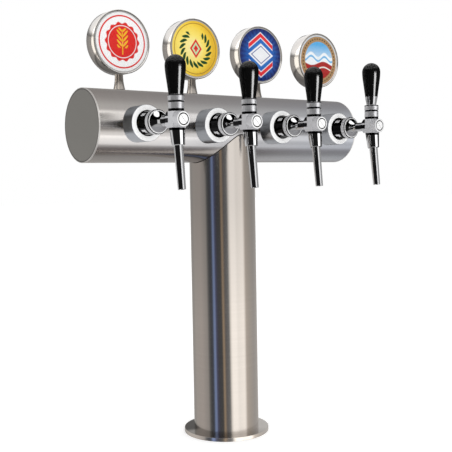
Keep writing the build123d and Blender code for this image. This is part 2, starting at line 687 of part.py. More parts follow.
def lever_bonnet(x):
    """Ring nut over the lever's ball, domed about the pivot and slotted for the stem."""
    spigot_bottom = UPSTAND_TOP - BONNET_SPIGOT_LENGTH
    bonnet = disc(BONNET_RADIUS, UPSTAND_TOP, PIVOT_RISE + DOME_RADIUS)
    bonnet += disc(BONNET_SPIGOT_RADIUS, spigot_bottom, UPSTAND_TOP)
    pivot = Pos(0, 0, PIVOT_RISE)
    bonnet &= pivot * Sphere(DOME_RADIUS)
    bonnet -= pivot * Sphere(BALL_RADIUS + BALL_CLEARANCE)
    spread = tan(radians(LEVER_OPEN_ANGLE))
    stem_reach = LEVER_STEM_RADIUS / cos(radians(LEVER_OPEN_ANGLE)) + BALL_CLEARANCE
    wedge = Polyline(
        (-stem_reach, 0),
        (stem_reach, 0),
        (stem_reach + spread * CUP_RADIUS, CUP_RADIUS),
        (-stem_reach - spread * CUP_RADIUS, CUP_RADIUS),
        close=True,
    )
    slot = extrude(Plane.YZ * make_face(wedge), LEVER_STEM_RADIUS + BALL_CLEARANCE, both=True)
    return lever_place(x) * (bonnet - pivot * slot)


def lever(x):
    """Ball, stem, cupped collar and grip stud, with the finger that works the piston."""
    pivot = Pos(0, 0, PIVOT_RISE)
    collar = disc(COLLAR_RADIUS, COLLAR_RIM, COLLAR_TOP)
    collar = chamfer(collar.edges().sort_by(Axis.Z)[-1], COLLAR_EDGE_CHAMFER)
    body = collar - pivot * Sphere(CUP_RADIUS)
    body += disc(LEVER_STEM_RADIUS, PIVOT_RISE, COLLAR_TOP)
    body += disc(STUD_RADIUS, COLLAR_TOP, COLLAR_TOP + STUD_LENGTH)
    body += pivot * Sphere(BALL_RADIUS)
    body += disc(FINGER_RADIUS, 0, PIVOT_RISE)
    body += Sphere(FINGER_BALL_RADIUS)
    return lever_place(x) * body


def grip(x, base):
    """Teardrop handle with a round top, standing on the given height."""
    top = base + GRIP_LENGTH
    shoulder = top - GRIP_TOP_RADIUS
    foot = Polyline((0, top), (0, base), (GRIP_BASE_RADIUS, base))
    flank = Spline(
        (GRIP_BASE_RADIUS, base),
        (GRIP_WAIST_RADIUS, base + GRIP_WAIST_HEIGHT),
        (GRIP_TOP_RADIUS, shoulder),
        tangents=((GRIP_WAIST_RADIUS - GRIP_BASE_RADIUS, GRIP_WAIST_HEIGHT), (0, 1)),
    )
    crown = CenterArc((0, shoulder), GRIP_TOP_RADIUS, 0, 90)
    body = revolve(Plane.XZ * make_face([*foot.edges(), flank, crown]), Axis.Z)
    body -= disc(STUD_RADIUS + STUD_FIT, base, base + STUD_LENGTH)
    return lever_place(x) * body


def grip_ferrule(x):
    """Tapered metal sleeve under the grip, on the right-hand taps only."""
    sleeve = turned(
        (STUD_RADIUS + STUD_FIT, COLLAR_TOP),
        (FERRULE_BASE_RADIUS, COLLAR_TOP),
        (FERRULE_TOP_RADIUS, COLLAR_TOP + FERRULE_LENGTH),
        (STUD_RADIUS + STUD_FIT, COLLAR_TOP + FERRULE_LENGTH),
    )
    return lever_place(x) * sleeve


# ---------------------------------------------------------------- badge lamps
def badge_place(x):
    """Place on the tower of a badge drawn about Z, with its height as distance forward."""
    return Pos(x, 0, BADGE_CENTRE_Z) * FORWARD


def badge_housing(x):
    """Round drum with a closed back and a seat for the lens."""
    half = BADGE_DEPTH / 2
    drum = disc(BADGE_OD / 2, -half, half)
    drum = fillet(drum.edges().sort_by(Axis.Z)[0], BADGE_BACK_FILLET)
    drum -= disc(LENS_RADIUS - LENS_SEAT_WIDTH, -half + BADGE_BACK, half)
    drum -= disc(LENS_RADIUS, half - LENS_RECESS - LENS_THICKNESS, half)
    drum = fillet(drum.edges().group_by(Axis.Z)[-1], BADGE_RIM_FILLET)
    pin_hole = disc(STEM_PIN_RADIUS + STEM_HOLE_CLEARANCE, -BADGE_OD, 0)
    return badge_place(x) * drum - Pos(x, 0, BADGE_CENTRE_Z) * pin_hole


def badge_lens(x):
    """Printed lens with a shallow domed front."""
    front = BADGE_DEPTH / 2 - LENS_RECESS
    back = front - LENS_THICKNESS
    radius = LENS_RADIUS - LENS_FIT
    outline = Polyline((0, front + LENS_DOME), (0, back), (radius, back), (radius, front))
    dome = TangentArc((0, front + LENS_DOME), (radius, front), tangent=(1, 0))
    lens = revolve(Plane.XZ * make_face([*outline.edges(), dome]), Axis.Z)
    return badge_place(x) * lens


def badge_stem(x):
    """Flared post between the crossbar and a badge, with a stud below and a pin above."""
    crossbar_top = CROSSBAR_AXIS_Z + CROSSBAR_RADIUS
    badge_bottom = BADGE_CENTRE_Z - BADGE_OD / 2
    sides = Polyline(
        (STEM_TOP_RADIUS, badge_bottom),
        (STEM_TOP_RADIUS, badge_bottom + STEM_PIN_LENGTH),
        (0, badge_bottom + STEM_PIN_LENGTH),
        (0, CROSSBAR_AXIS_Z),
        (STEM_FOOT_RADIUS, CROSSBAR_AXIS_Z),
        (STEM_FOOT_RADIUS, crossbar_top),
    )
    flare = TangentArc((STEM_TOP_RADIUS, badge_bottom), (STEM_FOOT_RADIUS, crossbar_top), tangent=(0, -1))
    post = revolve(Plane.XZ * make_face([*sides.edges(), flare]), Axis.Z)
    post = Pos(x, 0, 0) * post - crossbar_bar(CROSSBAR_RADIUS + WELD_GAP)
    post -= badge_place(x) * disc(BADGE_OD / 2 + WELD_GAP, -BADGE_DEPTH, BADGE_DEPTH)
    middle = (crossbar_top + badge_bottom) / 2
    post += Pos(x, 0, 0) * disc(STEM_STUD_RADIUS, crossbar_top - STEM_STUD_LENGTH, middle)
    post += Pos(x, 0, 0) * disc(STEM_PIN_RADIUS, middle, badge_bottom + STEM_PIN_LENGTH)
    return post


def badge_nuts():
    """Nut inside the crossbar on the stud of each badge stem."""
    ceiling = CROSSBAR_AXIS_Z + sqrt(CROSSBAR_BORE_RADIUS**2 - (BADGE_NUT_FLATS / 2) ** 2) - SEAT_GAP
    nut = hex_nut(BADGE_NUT_FLATS, STEM_STUD_RADIUS + STUD_FIT, ceiling - BADGE_NUT_HEIGHT, ceiling)
    return [Pos(x, 0, 0) * nut for x in BADGE_XS]


# ---------------------------------------------------------------- all nodes
def all_nodes():
    """Every node of the tower by name."""
    nodes = {
        "crossbar_tube": crossbar_tube(),
        "left_end_cap": end_cap(-1),
        "right_end_cap": end_cap(1),
        "column_tube": column_tube(),
        "base_flange": base_flange(),
        "anchor_ring": anchor_ring(),
        "cooling_loop": cooling_loop(),
        "line_spacers": line_spacers(),
        "tap_shanks": [tap_shank(x) for x in TAP_XS],
        "shank_fasteners": shank_fasteners(),
        "tail_seals": [tail_seal(x) for x in TAP_XS],
        "badge_stems": [badge_stem(x) for x in BADGE_XS],
        "badge_nuts": badge_nuts(),
        "lever_bonnets": [lever_bonnet(x) for x in TAP_XS],
    }
    for index, x in enumerate(TAP_XS):
        number = index + 1
        grip_base = COLLAR_TOP
        if number > TAP_COUNT - FERRULE_COUNT:
            nodes[f"grip_ferrule_{number}"] = grip_ferrule(x)
            grip_base += FERRULE_LENGTH
        nodes[f"drink_line_{number}"] = drink_line(index)
        nodes[f"rosette_{number}"] = rosette(x)
        nodes[f"coupling_nut_{number}"] = coupling_nut(x)
        nodes[f"tap_body_{number}"] = tap_body(x)
        nodes[f"nozzle_{number}"] = nozzle(x)
        nodes[f"valve_piston_{number}"] = valve_piston(x)
        nodes[f"adjuster_screw_{number}"] = adjuster_screw(x)
        nodes[f"lever_{number}"] = lever(x)
        nodes[f"grip_{number}"] = grip(x, grip_base)
        nodes[f"badge_housing_{number}"] = badge_housing(BADGE_XS[index])
        nodes[f"badge_lens_{number}"] = badge_lens(BADGE_XS[index])
    return nodes


os.makedirs("parts", exist_ok=True)
for name, shape in all_nodes().items():
    solid = Compound(children=shape) if isinstance(shape, list) else shape
    export_step(solid, f"parts/{name}.step")
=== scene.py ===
from math import cos, pi, radians, sin, sqrt

import bmesh
import bpy
from mathutils import Matrix, Vector


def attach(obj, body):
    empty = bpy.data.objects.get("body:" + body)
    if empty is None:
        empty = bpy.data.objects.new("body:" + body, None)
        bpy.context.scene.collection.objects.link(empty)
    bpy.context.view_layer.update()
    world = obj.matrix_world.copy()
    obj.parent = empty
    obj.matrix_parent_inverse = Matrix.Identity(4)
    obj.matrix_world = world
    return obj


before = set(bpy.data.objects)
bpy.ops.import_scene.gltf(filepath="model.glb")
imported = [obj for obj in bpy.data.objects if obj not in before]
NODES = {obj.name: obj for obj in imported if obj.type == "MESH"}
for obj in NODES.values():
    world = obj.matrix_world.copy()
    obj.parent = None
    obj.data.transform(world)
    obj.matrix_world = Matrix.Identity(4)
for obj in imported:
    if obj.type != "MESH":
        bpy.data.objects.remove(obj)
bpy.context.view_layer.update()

# The looks of a four-tap beer tower: finishes for the CAD pieces, the weld bead, the prints on
# the badge lamps, a pale floor, the studio rooms that the metal reflects, and the camera.
# Metres, in the CAD model's frame.
MM = 0.001
TAPS = range(1, 5)
UP = Vector((0, 0, 1))
# Degrees.
HALF_TURN = 180
QUARTER_TURN = 90
WHITE = (1, 1, 1)
BLACK = (0, 0, 0)

# ---- Places and sizes as in the CAD model ----
AXIS_HEIGHT = 474 * MM
TAP_PITCH = 120 * MM
COLUMN_RADIUS = 50.8 * MM
CROSSBAR_RADIUS = 52 * MM
BADGE_HEIGHT = 592 * MM
BADGE_OFFSET = 8.5 * MM
BADGE_PITCH = 125.5 * MM
LENS_RADIUS = 42.9 * MM

# ---- Weld bead ----
BEAD_RADIUS = 0.8 * MM
BEAD_STEPS = 8
SEAM_STEPS = 120

# ---- Camera: turns in radians, lens in millimetres ----
CAMERA_PLACE = Vector((-0.7792, -1.0563, 0.3977))
CAMERA_YAW = 0.639
CAMERA_PITCH = -0.057
CAMERA_ROLL = 0.017
CAMERA_LENS = 66.85
CAMERA_NEAR = 0.01
CAMERA_FAR = 50.0

# ---- Floor ----
FLOOR_HALF = 12.0
FLOOR_DROP = 0.1 * MM
FLOOR_GREY = 0.85
FLOOR_GLOW = 0.36

# ---- Rooms: what each group of pieces reflects ----
TOWER_MIDDLE = Vector((0, 0, 0.4))
ROOM_RADIUS = 4.0
ROOM_STEP = 0.2
# Turns are in degrees from straight in front: to the right about the upright axis, and
# upward about the level axis along the crossbar. A glow is a colour or a grey.
COLUMN_AROUND = (
    (-180, (0.38, 0.36, 0.34)),
    (-160, (0.50, 0.46, 0.43)),
    (-125, (0.52, 0.47, 0.44)),
    (-100, (0.40, 0.37, 0.35)),
    (-93, (0.14, 0.14, 0.14)),
    (-86, (0.08, 0.08, 0.09)),
    (-78, (0.08, 0.09, 0.11)),
    (-75, (0.25, 0.32, 0.54)),
    (-69, (0.25, 0.32, 0.54)),
    (-66, (0.10, 0.10, 0.17)),
    (-58, (0.08, 0.08, 0.09)),
    (-45, (0.09, 0.09, 0.09)),
    (-42, (0.40, 0.30, 0.21)),
    (-38, (0.40, 0.30, 0.21)),
    (-34, (0.16, 0.15, 0.15)),
    (-21, (0.22, 0.22, 0.22)),
    (-15, (1.10, 1.03, 0.96)),
    (-10, (1.46, 1.38, 1.30)),
    (4, (1.46, 1.38, 1.31)),
    (12, (1.30, 1.23, 1.16)),
    (35, (1.42, 1.33, 1.25)),
    (45, (0.64, 0.57, 0.51)),
    (60, (0.55, 0.50, 0.45)),
    (84, (0.48, 0.45, 0.43)),
    (140, (0.52, 0.50, 0.48)),
    (180, (0.38, 0.36, 0.34)),
)
CROSSBAR_OVER = (
    (-180, (0.46, 0.44, 0.42)),
    (-112, (0.36, 0.35, 0.34)),
    (-99, (0.19, 0.18, 0.17)),
    (-80, (0.16, 0.14, 0.14)),
    (-72, (0.24, 0.22, 0.22)),
    (-67, (0.55, 0.54, 0.54)),
    (-42, (0.74, 0.73, 0.72)),
    (-36, (1.05, 1.03, 1.01)),
    (-23, (1.05, 1.03, 1.01)),
    (-16, (0.56, 0.54, 0.52)),
    (0, (0.44, 0.42, 0.41)),
    (9, (0.54, 0.53, 0.52)),
    (15, (1.15, 1.13, 1.11)),
    (32, (1.32, 1.30, 1.27)),
    (42, (1.32, 1.30, 1.27)),
    (48, (0.60, 0.58, 0.57)),
    (62, (0.62, 0.61, 0.59)),
    (90, (0.42, 0.40, 0.39)),
    (130, (0.33, 0.31, 0.30)),
    (180, (0.38, 0.37, 0.35)),
)
TAP_AROUND = (
    (-180, 0.60),
    (-114, 0.60),
    (-108, 0.01),
    (1, 0.01),
    (6, 1.60),
    (44, 1.60),
    (51, 0.04),
    (138, 0.04),
    (146, 0.60),
    (180, 0.60),
)
SPOUT_AROUND = (
    (-180, 0.55),
    (-134, 0.55),
    (-126, 0.01),
    (-8, 0.01),
    (0, 0.95),
    (26, 0.95),
    (36, 0.32),
    (140, 0.32),
    (180, 0.55),
)
BADGE_AROUND = (
    (-180, (0.26, 0.25, 0.24)),
    (-150, (0.40, 0.38, 0.36)),
    (-140, (0.30, 0.28, 0.27)),
    (-136, (1.50, 1.42, 1.30)),
    (-112, (1.50, 1.42, 1.30)),
    (-106, (0.25, 0.23, 0.22)),
    (-62, (0.14, 0.13, 0.12)),
    (-56, (0.75, 0.70, 0.64)),
    (-34, (0.75, 0.70, 0.64)),
    (-28, (0.16, 0.15, 0.14)),
    (20, (0.28, 0.27, 0.26)),
    (60, (0.33, 0.32, 0.31)),
    (150, (0.33, 0.32, 0.31)),
    (180, (0.26, 0.25, 0.24)),
)
GRIP_AROUND = ((-180, 0.14), (-135, 0.14), (-115, 0.0), (115, 0.0), (135, 0.14), (180, 0.14))
# By elevation, from straight down (-90) to straight up (90). Levels are a share of the glow
# around, and sky is glow that is added to it.
TAP_LEVELS = ((-33, 0.0), (-28, 1.0), (20, 1.0), (27, 0.0))
TAP_SKY = ((-90, 0.42), (-40, 0.36), (-30, 0.0), (61, 0.0), (66, 1.4), (90, 1.4))
ROSETTE_SKY = (
    (-90, 0.45),
    (-14, 0.60),
    (-6, 0.10),
    (8, 0.07),
    (24, 0.16),
    (36, 0.26),
    (90, 0.9),
)
PALE_ROSETTE_SKY = ((-90, 0.45), (-14, 0.46), (-4, 0.24), (10, 0.22), (30, 0.30), (90, 0.7))
BADGE_LEVELS = ((-26, 0.6), (-22, 0.25), (-16, 1.0), (16, 1.0), (20, 0.2), (26, 1.0))
BADGE_SKY = ((18, 0.0), (28, 0.75), (90, 0.9))
GRIP_SKY = ((-90, 0.10), (-20, 0.02), (30, 0.03), (50, 0.7), (90, 0.7))

# ---- Light panels ----
# Watts per square metre of panel for each unit of radiance.
PANEL_POWER = 4.0
PANEL_DISTANCE = 2.0
UNDERSIDE_PANEL = Vector((0.55, 0.06, 0.1))
BOUNCE_PANEL = Vector((0.08, -0.36, 0.11))

# ---- Finishes ----
# Ranges of a noise: the whole of its usual values, its middle, and its higher part.
NOISE_RANGE = (0.3, 0.7)
MIDDLE_RANGE = (0.35, 0.65)
HIGH_RANGE = (0.35, 0.7)
BUMP_DEPTH = 0.02 * MM
BRUSH_ANISOTROPY = 0.8
BRUSH_UNEVENNESS = 0.03
# Grain in cycles per metre along X, Y and Z, and how much wider its coarse streaks are.
COLUMN_GRAIN = (12, 12, 2200)
CROSSBAR_GRAIN = (2200, 12, 12)
DRAWN_GRAIN = (400, 400, 400)
COARSENESS = 9
# Painted shading: an axis, the places between which a colour comes in, and that colour. On the
# column it is painted shade towards the crossbar; on the crossbar it is a painted cooler, darker
# reflection towards the right end.
COLUMN_PAINTED_SHADE = ("Z", 180 * MM, 360 * MM, (0.48, 0.468, 0.455))
CROSSBAR_PAINTED_REFLECTION = ("X", -240 * MM, 240 * MM, (0.565, 0.595, 0.655))
# Painted reflection on the foot: its shade by the turn round the column, in degrees from straight
# in front.
FOOT_PAINTED_REFLECTION = (
    (-180, (0.30, 0.29, 0.28)),
    (-150, (0.0, 0.0, 0.0)),
    (-112, (0.0, 0.0, 0.0)),
    (-100, (0.42, 0.41, 0.40)),
    (-50, (0.44, 0.42, 0.40)),
    (0, (0.50, 0.48, 0.46)),
    (40, (0.90, 0.89, 0.88)),
    (90, (0.90, 0.89, 0.88)),
    (140, (0.50, 0.49, 0.48)),
    (180, (0.30, 0.29, 0.28)),
)
FOOT_RIM = 66.0 * MM
FOOT_RIM_WIDTH = 0.5 * MM
CAP_LINE_RADIUS = 49.4 * MM
CAP_LINE_SOFTNESS = 0.2 * MM
# Edge of the caps, and the painted highlight on it, which fades from front to back.
CAP_EDGE_RADIUS = 50.6 * MM
CAP_HIGHLIGHT_WIDTH = 0.4 * MM
CAP_HIGHLIGHT_BACK = 10 * MM
CAP_HIGHLIGHT_FRONT = 20 * MM
# Painted highlights on the nuts: where they lie along the tap, their softness, how many go round,
# and their turn.
NUT_HIGHLIGHT_BACK = 79.5 * MM
NUT_HIGHLIGHT_FRONT = 89 * MM
NUT_HIGHLIGHT_SOFTNESS = 0.3 * MM
NUT_HIGHLIGHT_COUNT = 4
NUT_HIGHLIGHT_TURN = radians(138)
# Heights of the cosine wave round the nut between which a painted highlight comes in.
NUT_HIGHLIGHT_RANGE = (0.70, 0.85)
# Height of the drum's seeming barrel shape for each square of depth.
DRUM_CURVE = 11.0
DRUM_DULL_START = 11.5 * MM
DRUM_DULL_FULL = 11.9 * MM

# ---- Layers of finish, painted light and painted shade ----
# A layer is a colour, its share of reflection and its zones. A zone is a kind, two distances
# ahead of the column's axis, and two limits: of the radius round the tap's axis, or of the
# height over it. Zones are in millimetres. A later layer covers an earlier one.
ZONE_EDGE = 0.1 * MM
DULL_ROUGHNESS = 0.38
DARK_ROUGHNESS = 0.2
ROSETTE_LAYERS = (
    # Flat face, and the shadow of the nut on it.
    ((0.98, 0.98, 0.98), 0.0, (("height", 75.7, 78, -60, 60),)),
    ((0.02, 0.02, 0.02), 1.0, (("radius", 75.7, 78, 0, 17.7),)),
)
TAP_DULL_AND_PAINTED_BANDS = (
    (0.66, 0.66, 0.68),
    0.3,
    (
        # Dull ring behind the flare, two painted reflections as light bands along the neck, and
        # the dull block with its boss.
        ("radius", 95, 102.4, 0, 60),
        ("height", 117.5, 136, 2.6, 4.6),
        ("height", 117.5, 136, -8, -4.6),
        ("height", 134.8, 170, -10.6, 10.6),
    ),
)
# Painted shade on the underside of the flare.
TAP_PAINTED_UNDERSIDE_SHADE = ((0.36, 0.36, 0.38), 0.35, (("height", 103.4, 117.5, -15.3, -6.5),))
TAP_PAINTED_HIGHLIGHTS = (
    (0.97, 0.97, 0.97),
    0.1,
    (
        # Painted highlights: the front face of the boss, and the wide end of the flare.
        ("radius", 162.6, 170, 0, 9.4),
        ("radius", 103, 108, 14.2, 15.4),
    ),
)
TAP_PAINTED_SHADE = (
    (0.02, 0.02, 0.022),
    1.0,
    (
        # Painted shade: lines behind and before the ring, and the recess in the boss.
        ("radius", 94, 95.9, 0, 60),
        ("radius", 102.4, 103.2, 15.5, 60),
        ("radius", 155, 163, 0, 8.3),
        # Painted dark reflections as two bands along the neck, and painted shade on the upstand
        # and the top of the barrel.
        ("height", 117.5, 142, 4.8, 12),
        ("height", 117.5, 142, -3.6, 2.2),
        ("height", 142, 160, 10.6, 30),
        ("height", 138, 162, -14, -10.6),
    ),
)
LEVER_LAYERS = (
    # The whole lever and bonnet, then painted shade lines round the bonnet's rim and under the
    # collar's top.
    ((0.80, 0.80, 0.82), 0.75, (("height", 100, 200, -40, 140),)),
    (
        (0.03, 0.03, 0.03),
        1.0,
        (
            ("height", 130, 165, 22.0, 24.2),
            ("height", 130, 165, 30.4, 31.6),
        ),
    ),
)

# ---- Prints: radii are shares of the lens's radius ----
RED = (0.74, 0.014, 0.010)
GOLD = (0.91, 0.48, 0.01)
GREEN = (0.005, 0.068, 0.012)
BEZEL_START = 0.955
BEZEL_FULL = 0.97
PRINT_ROUGHNESS = 0.3


# ---------------------------------------------------------------- node helpers
def plug(tree, socket, value):
    """Links a socket to another node's output, or sets its value. Colours are opaque."""
    if isinstance(value, bpy.types.NodeSocket):
        tree.links.new(value, socket)
    elif socket.type == "RGBA":
        socket.default_value = (*value, 1)
    else:
        socket.default_value = value


def set_inputs(tree, node, inputs):
    """Links or sets inputs of a node, by their names or numbers."""
    for key, value in inputs.items():
        plug(tree, node.inputs[key], value)


def add(tree, kind, inputs=(), **settings):
    """Adds a node with its settings and inputs."""
    made = tree.nodes.new(kind)
    for key, value in settings.items():
        setattr(made, key, value)
    set_inputs(tree, made, dict(inputs))
    return made


def calculate(tree, operation, first, second=0.0):
    """Output of one arithmetic node."""
    return add(tree, "ShaderNodeMath", {0: first, 1: second}, operation=operation).outputs[0]


def plus(tree, first, second):
    """Sum of two numbers."""
    return calculate(tree, "ADD", first, second)


def minus(tree, first, second):
    """Difference of two numbers."""
    return calculate(tree, "SUBTRACT", first, second)


def times(tree, first, second):
    """Product of two numbers."""
    return calculate(tree, "MULTIPLY", first, second)


def ratio(tree, first, second):
    """First number divided by the second."""
    return calculate(tree, "DIVIDE", first, second)


def size_of(tree, value):
    """Value without its sign."""
    return calculate(tree, "ABSOLUTE", value)


def squares(tree, first, second):
    """Sum of the squares of two numbers."""
    return plus(tree, times(tree, first, first), times(tree, second, second))


def length(tree, first, second):
    """Length of a line, from its parts along two square directions."""
    return calculate(tree, "SQRT", squares(tree, first, second))


def wave(tree, value, count, height, start=0.0):
    """Cosine wave of a value, count times in a full turn."""
    phase = plus(tree, times(tree, value, count), start)
    return times(tree, calculate(tree, "COSINE", phase), height)


def remap(tree, value, low, high, new_low=0.0, new_high=1.0):
    """Output of a linear change of range, clamped."""
    inputs = {
        "Value": value,
        "From Min": low,
        "From Max": high,
        "To Min": new_low,
        "To Max": new_high,
    }
    return add(tree, "ShaderNodeMapRange", inputs).outputs["Result"]


def inside(tree, value, limit, edge=0.015):
    """One where the value is under the limit, with a soft edge."""
    return remap(tree, value, limit - edge, limit + edge, 1.0, 0.0)


def both_sides(tree, value, low, high, edge):
    """One between two limits and nought outside, with soft edges."""
    rise = remap(tree, value, low - edge, low + edge)
    return times(tree, rise, inside(tree, value, high, edge))


def between(tree, factor, first, second):
    """Number between two others."""
    return add(tree, "ShaderNodeMix", {0: factor, 2: first, 3: second}).outputs[0]


def mix(tree, factor, first, second, blend="MIX"):
    """Colour output of a mix. Inputs 6 and 7 of the node are its colours."""
    inputs = {0: factor, 6: first, 7: second}
    return add(tree, "ShaderNodeMix", inputs, data_type="RGBA", blend_type=blend).outputs[2]


def lay(tree, ground, *coats):
    """Colours laid over a ground. A coat is a mask, one where it covers, and a colour."""
    for mask, colour in coats:
        ground = mix(tree, mask, ground, colour)
    return ground


def scaled(colour, factor):
    """Colour made darker or lighter, up to full white."""
    return tuple(min(1.0, factor * value) for value in colour)


def ramp(tree, factor, stops):
    """Colour output of a ramp. Each stop is a place from 0 to 1 and a colour or a grey."""
    made = add(tree, "ShaderNodeValToRGB", {"Fac": factor})
    elements = made.color_ramp.elements
    elements.remove(elements[1])
    for index, (place, glow) in enumerate(stops):
        stop = elements[0] if index == 0 else elements.new(place)
        stop.position = place
        stop.color = (*glow, 1) if isinstance(glow, tuple) else (glow, glow, glow, 1)
    return made.outputs["Color"]


def turned_glow(tree, forward, sideways, stops, span):
    """Colour by the angle from forward towards sideways, from -span to span degrees."""
    angle = calculate(tree, "ARCTAN2", sideways, forward)
    place = remap(tree, angle, -radians(span), radians(span))
    return ramp(tree, place, [((turn / span + 1) / 2, glow) for turn, glow in stops])


def noise(tree, coordinates, scale, detail=3.0, stretch=(1, 1, 1)):
    """Value of a noise, finer where stretch is larger."""
    mapping = add(tree, "ShaderNodeMapping", {"Vector": coordinates, "Scale": stretch})
    inputs = {"Vector": mapping.outputs["Vector"], "Scale": scale, "Detail": detail}
    return add(tree, "ShaderNodeTexNoise", inputs).outputs["Fac"]


def spread(tree, cloud, low, high):
    """Number that goes from low to high over the usual range of a noise."""
    return remap(tree, cloud, *NOISE_RANGE, low, high)


def uneven(tree, cloud, roughness, amount=0.04):
    """Roughness that differs by an amount both ways."""
    return spread(tree, cloud, roughness - amount, roughness + amount)


def smudged(tree, cloud, roughness, amount=0.05):
    """Roughness that rises by an amount, only where a noise is high."""
    return remap(tree, cloud, *HIGH_RANGE, roughness, roughness + amount)


def bump(tree, height, strength, distance=BUMP_DEPTH):
    """Normal that follows a height."""
    inputs = {"Strength": strength, "Distance": distance, "Height": height}
    return add(tree, "ShaderNodeBump", inputs).outputs[0]


def parts_of(tree, place):
    """Parts X, Y and Z of a place."""
    return add(tree, "ShaderNodeSeparateXYZ", {0: place}).outputs


def vector(tree, x, y=0.0, z=0.0):
    """Vector made of its parts."""
    return add(tree, "ShaderNodeCombineXYZ", {0: x, 1: y, 2: z}).outputs[0]


def ahead_of_column(tree, parts):
    """Distance ahead of the column's axis."""
    return times(tree, parts["Y"], -1.0)


def from_tap_axis(tree, parts):
    """Place across the nearest tap, height over its axis, and distance from the axis."""
    side = minus(tree, calculate(tree, "FLOORED_MODULO", parts["X"], TAP_PITCH), TAP_PITCH / 2)
    height = minus(tree, parts["Z"], AXIS_HEIGHT)
    return side, height, length(tree, side, height)


# ---------------------------------------------------------------- pieces and objects
def give(material, *names):
    """Puts a finish on CAD nodes."""
    for name in names:
        materials = NODES[name].data.materials
        materials.clear()
        materials.append(material)


def numbered(*stems):
    """Names of the CAD nodes that come once for each tap."""
    return [f"{stem}_{number}" for stem in stems for number in TAPS]


def new_object(name, data):
    """New object in the scene."""
    made = bpy.data.objects.new(name, data)
    bpy.context.scene.collection.objects.link(made)
    return made


def new_material(name):
    """Material with nodes, and its tree."""
    material = bpy.data.materials.new(name)
    material.use_nodes = True
    return material, material.node_tree


def link_to(light, receivers):
    """Lets a light or a glowing mesh light only the CAD nodes that are named."""
    lit = bpy.data.collections.new(light.name + "_lit")
    for name in receivers:
        lit.objects.link(NODES[name])
    light.light_linking.receiver_collection = lit


# ---------------------------------------------------------------- world, floor and camera
def white_world():
    """White all round for the camera and matt surfaces. Reflections see the rooms instead."""
    world = bpy.data.worlds.new("white_studio")
    world.use_nodes = True
    set_inputs(world.node_tree, world.node_tree.nodes["Background"], {"Color": WHITE})
    world.cycles_visibility.glossy = False
    bpy.context.scene.world = world


def floor():
    """Pale floor with its own slight glow, so that only a soft shadow shows on it."""
    mesh = bpy.data.meshes.new("floor")
    half = FLOOR_HALF
    corners = [(-half, -half), (half, -half), (half, half), (-half, half)]
    mesh.from_pydata([(x, y, -FLOOR_DROP) for x, y in corners], [], [(0, 1, 2, 3)])
    plane = new_object("floor", mesh)
    material, tree = new_material("pale_floor")
    look = {
        "Base Color": (FLOOR_GREY, FLOOR_GREY, FLOOR_GREY),
        "Roughness": 0.9,
        "Emission Color": WHITE,
        "Emission Strength": FLOOR_GLOW,
    }
    set_inputs(tree, tree.nodes["Principled BSDF"], look)
    mesh.materials.append(material)
    plane.visible_glossy = False


def camera():
    """Camera at the height and angle from which the tower is shown."""
    yaw, pitch, roll = CAMERA_YAW, CAMERA_PITCH, CAMERA_ROLL
    forward = Vector((sin(yaw) * cos(pitch), cos(yaw) * cos(pitch), sin(pitch)))
    level = Vector((cos(yaw), -sin(yaw), 0))
    raised = level.cross(forward)
    right = cos(roll) * level - sin(roll) * raised
    up = sin(roll) * level + cos(roll) * raised
    turn = Matrix((right, up, -forward)).transposed().to_4x4()
    data = bpy.data.cameras.new("camera")
    data.lens = CAMERA_LENS
    data.clip_start = CAMERA_NEAR
    data.clip_end = CAMERA_FAR
    eye = new_object("camera", data)
    eye.matrix_world = Matrix.Translation(CAMERA_PLACE) @ turn
    bpy.context.scene.camera = eye


# ---------------------------------------------------------------- rooms and panels
def room_material(name, around, over, levels, sky):
    """Clear material that glows by the direction from the dome's middle."""
    material, tree = new_material(name)
    tree.nodes.clear()
    parts = parts_of(tree, add(tree, "ShaderNodeTexCoord").outputs["Object"])
    front = ahead_of_column(tree, parts)
    level = length(tree, parts["X"], parts["Y"])
    glow = BLACK
    if around:
        glow = turned_glow(tree, front, parts["X"], around, HALF_TURN)
    if over:
        glow = turned_glow(tree, front, parts["Z"], over, HALF_TURN)
    if levels:
        share = turned_glow(tree, level, parts["Z"], levels, QUARTER_TURN)
        glow = mix(tree, 1.0, glow, share, "MULTIPLY")
    if sky:
        added = turned_glow(tree, level, parts["Z"], sky, QUARTER_TURN)
        glow = mix(tree, 1.0, glow, added, "ADD")
    light = add(tree, "ShaderNodeEmission", {"Color": glow})
    clear = add(tree, "ShaderNodeBsdfTransparent")
    both = add(tree, "ShaderNodeAddShader", {0: light.outputs[0], 1: clear.outputs[0]})
    add(tree, "ShaderNodeOutputMaterial", {"Surface": both.outputs[0]})
    material.cycles.emission_sampling = "NONE"
    return material


def room(order, name, receivers, around=None, over=None, levels=None, sky=None):
    """Clear dome whose glow only the named CAD nodes reflect.

    Each dome has an order of its own, and so a radius of its own: domes that coincide go black."""
    mesh = bpy.data.meshes.new(name)
    ball = bmesh.new()
    bmesh.ops.create_icosphere(ball, subdivisions=3, radius=ROOM_RADIUS + ROOM_STEP * order)
    ball.to_mesh(mesh)
    ball.free()
    mesh.materials.append(room_material(name, around, over, levels, sky))
    dome = new_object(name, mesh)
    dome.location = TOWER_MIDDLE
    dome.visible_camera = False
    dome.visible_diffuse = False
    dome.visible_shadow = False
    link_to(dome, receivers)


